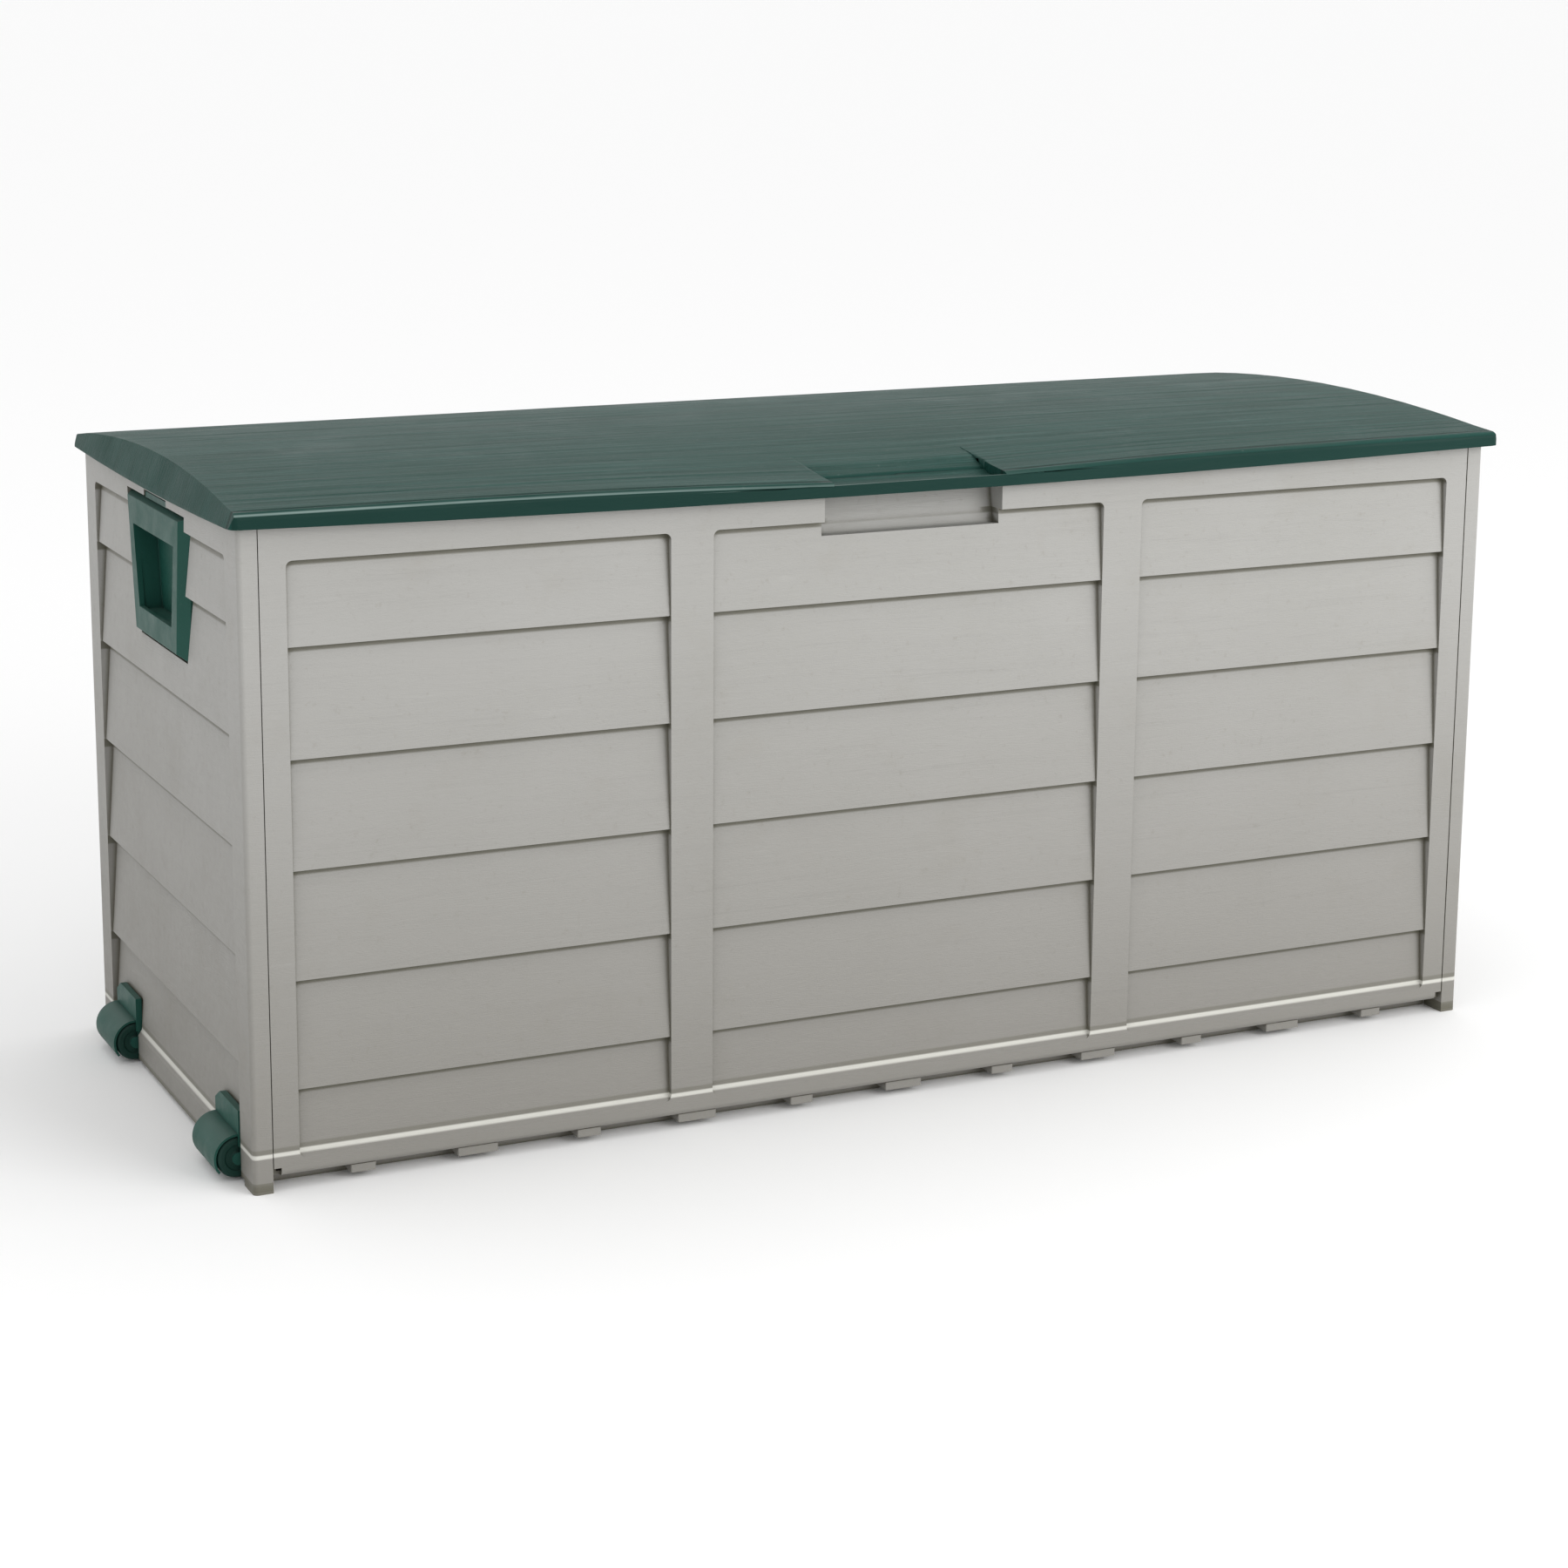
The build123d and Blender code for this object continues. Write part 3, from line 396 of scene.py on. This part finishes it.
# Start of each piece's name, and its paint.
PAINT_OF = {
    "front_panel": "grey_long", "back_panel": "grey_long",
    "left_side_panel": "grey_side", "right_side_panel": "grey_side", "base_floor": "grey_plain",
    "lid": "lid", "left_handle": "trim", "right_handle": "trim",
    "wheel_housing": "trim", "wheel_front": "wheel", "wheel_rear": "wheel",
    "hinge_bracket": "grey_plain", "hinge_pin": "steel", "hinge_screws": "steel",
    "axle": "steel", "housing_screws": "steel",
}


# ---------------------------------------------------------------- moulded edges
def round_edges(piece, radius):
    """Joins the facets of a part's flat faces and rounds every sharp edge."""
    weld = piece.modifiers.new("weld", "WELD")
    weld.merge_threshold = 0.00002
    flat = piece.modifiers.new("flat", "DECIMATE")
    flat.decimate_type = "DISSOLVE"
    flat.angle_limit = math.radians(0.4)
    # Without triangles the bevel tears large faces that have ribs on them.
    piece.modifiers.new("triangles", "TRIANGULATE").ngon_method = "BEAUTY"
    bevel = piece.modifiers.new("bevel", "BEVEL")
    bevel.width = radius
    bevel.segments = 3
    bevel.limit_method = "ANGLE"
    bevel.angle_limit = math.radians(35)
    piece.modifiers.new("normals", "WEIGHTED_NORMAL").keep_sharp = False


for name, piece in NODES.items():
    material, slot, radius = PAINTS[next(PAINT_OF[start] for start in PAINT_OF if name.startswith(start))]
    piece.data.materials.clear()
    piece.data.materials.append(material)
    round_edges(piece, radius)
    for face in piece.data.polygons:
        face.use_smooth = True


# ---------------------------------------------------------------- form of the lid, in millimetres
def smooth_step(value):
    value = min(max(value, 0.0), 1.0)
    return value * value * (3 - 2 * value)


def front_dip(x, y, z):
    """How far the front of the lid sags towards its middle; nothing below the lip."""
    along = 0.2 * (1 - abs(x) / LID_HALF) + 0.8 * math.exp(-(x / SAG_HALF) ** 2)
    behind = math.exp(-((y - LID_FRONT) / SAG_DEPTH) ** 2)
    return FRONT_SAG * along * behind * smooth_step((z - LIP_LOW) / 5.0)


def crown_height(x, y):
    """Height of the lid's top behind its front edge, before it is cut by the scoop."""
    rise = (LID_CROWN - LID_SHOULDER) * (1 - ((y - LID_CROWN_Y) / LID_CROWN_RUN) ** 2)
    return LID_SHOULDER + rise - front_dip(x, y, LID_CROWN)


def scoop_height(x, y):
    """Height of the scoop behind its trough: a short steep wall, rounded over to just below the crown."""
    wall = SCOOP_FLOOR + SCOOP_STEP * smooth_step((y - SCOOP_WALL) / SCOOP_STEP_RUN)
    over = min(max((y - SCOOP_WALL - SCOOP_SLOPE_START) / SCOOP_SLOPE_RUN, 0.0), 1.0)
    near_wall = 1 - smooth_step((y + 192) / 14)
    before_end = 1 - smooth_step((y - SCOOP_END + SCOOP_FADE) / SCOOP_FADE)
    kept_below = (0.4 + 1.2 * near_wall) * before_end
    return wall + (crown_height(x, y) - kept_below - wall) * (1 - (1 - over) ** 2)


def grain_relief(x, y):
    """Shallow ridges along the length, which fade towards all four edges."""
    ridges = math.sin(y * 0.57) + math.sin(y * 1.13 + 1.7) + 0.7 * math.sin(y * 0.31 + x * 0.004)
    inside = smooth_step((y + 222) / GRAIN_MARGIN) * smooth_step((224 - y) / GRAIN_MARGIN)
    return GRAIN_RISE * ridges * inside * smooth_step((LID_END_RELIEF - abs(x)) / GRAIN_MARGIN)


def bead_and_groove(x, y):
    """A rolled bead along the front edge and the groove behind it, strongest on the left."""
    strength = (1.0 - 0.6 * smooth_step((x + 100) / 200)) * smooth_step((abs(x) - SCOOP_HALF - 3) / 18)
    ends = smooth_step((LID_HALF - 6 - abs(x)) / 10)
    groove = max(0.0, 1 - abs(y - GROOVE_Y) / GROOVE_WIDE)
    bead = max(0.0, 1 - abs(y - BEAD_Y) / BEAD_HALF)
    return ends * strength * (BEAD_RISE * bead - GROOVE_DEPTH * groove)


# ---------------------------------------------------------------- lid
def is_outer(face):
    """The top and the front face of the lid."""
    middle = face.calc_center_median()
    top = face.normal.z > 0.25 and middle.z > 0.5065
    return top or (face.normal.y < -0.3 and middle.y < LID_FRONT * MM + 0.008)


def is_scoop_wall(face):
    middle = face.calc_center_median()
    return abs(face.normal.x) > 0.6 and abs(abs(middle.x) / MM - SCOOP_HALF) < 2 and middle.z > 0.506


def is_outer_or_wall(face):
    return is_outer(face) or is_scoop_wall(face)


def is_ceiling(face):
    """The inner side of the lid's top, between its ribs."""
    return face.normal.z < -0.3 and face.calc_center_median().z > 0.511


def is_outer_or_ceiling(face):
    return is_outer(face) or is_ceiling(face)


def cut_strips(shape, axis, places, wanted):
    """Splits the wanted faces of a mesh along planes across one axis."""
    normal = Vector((axis == "X", axis == "Y", 0))
    for place in places:
        shape.normal_update()
        faces = [face for face in shape.faces if wanted(face)]
        edges = {edge for face in faces for edge in face.edges}
        verts = {vertex for face in faces for vertex in face.verts}
        bmesh.ops.bisect_plane(shape, geom=list(verts) + list(edges) + faces, dist=1e-6,
                               plane_co=normal * place * MM, plane_no=normal)


def cut_lid(shape):
    """Gives the lid enough vertices for its bead, groove, scoop, grain and sag."""
    half = (79, 84, 90, 97, *range(110, 555, 26))
    stations = [side * x for side in (-1, 1) for x in half] + [-50, -25, 0, 25, 50]
    cut_strips(shape, "Y", [GROOVE_Y - GROOVE_WIDE, GROOVE_Y, GROOVE_Y + GROOVE_WIDE], is_outer)
    cut_strips(shape, "Y", [SCOOP_WALL + step for step in (0.5, 1.5, 2.5, 3.5)], is_outer_or_wall)
    cut_strips(shape, "Y", [-222 + GRAIN_PITCH * i for i in range(82)], is_outer_or_wall)
    cut_strips(shape, "X", stations, is_outer_or_ceiling)
    cut_strips(shape, "Y", range(-215, -100, 23), is_ceiling)


def shape_lid(shape):
    """Moves the lid's vertices up or down to its real form."""
    outside = {vertex for face in shape.faces if is_outer(face) for vertex in face.verts}
    scoop_edge = SCOOP_HALF + 0.1

    def in_scoop(vertex, x, y, z):
        near = abs(x) < scoop_edge and SCOOP_WALL < y < SCOOP_END and z < crown_height(0, y) + 9
        return near and vertex in outside and all(abs(other.co.x) < scoop_edge * MM for face in vertex.link_faces
                                                  if is_outer(face) for other in face.verts)

    for vertex in shape.verts:
        x, y, z = (value / MM for value in vertex.co)
        if in_scoop(vertex, x, y, z):
            vertex.co.z = scoop_height(x, y) * MM
            continue
        lift = -front_dip(x, y, z)
        if vertex in outside and z > TOP_LOW:
            lift += grain_relief(x, y) * (abs(x) > SCOOP_HALF or y > SCOOP_END) + bead_and_groove(x, y)
        vertex.co.z += lift * MM


def make_lid():
    """The moulded lid: the plain lid with rounded edges, a sagging front edge, a bead and drawn grain."""
    plain = NODES["lid"]
    graph = bpy.context.evaluated_depsgraph_get()
    mesh = bpy.data.meshes.new_from_object(plain.evaluated_get(graph))
    mesh.transform(plain.matrix_world)
    shape = bmesh.new()
    shape.from_mesh(mesh)
    cut_lid(shape)
    shape_lid(shape)
    shape.to_mesh(mesh)
    shape.free()
    for face in mesh.polygons:
        face.use_smooth = True
    mesh.set_sharp_from_angle(angle=math.radians(38))
    lid = bpy.data.objects.new("lid_moulding", mesh)
    bpy.context.scene.collection.objects.link(lid)
    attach(lid, "lid")
    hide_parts("lid")
    lid.modifiers.new("normals", "WEIGHTED_NORMAL").keep_sharp = True


make_lid()
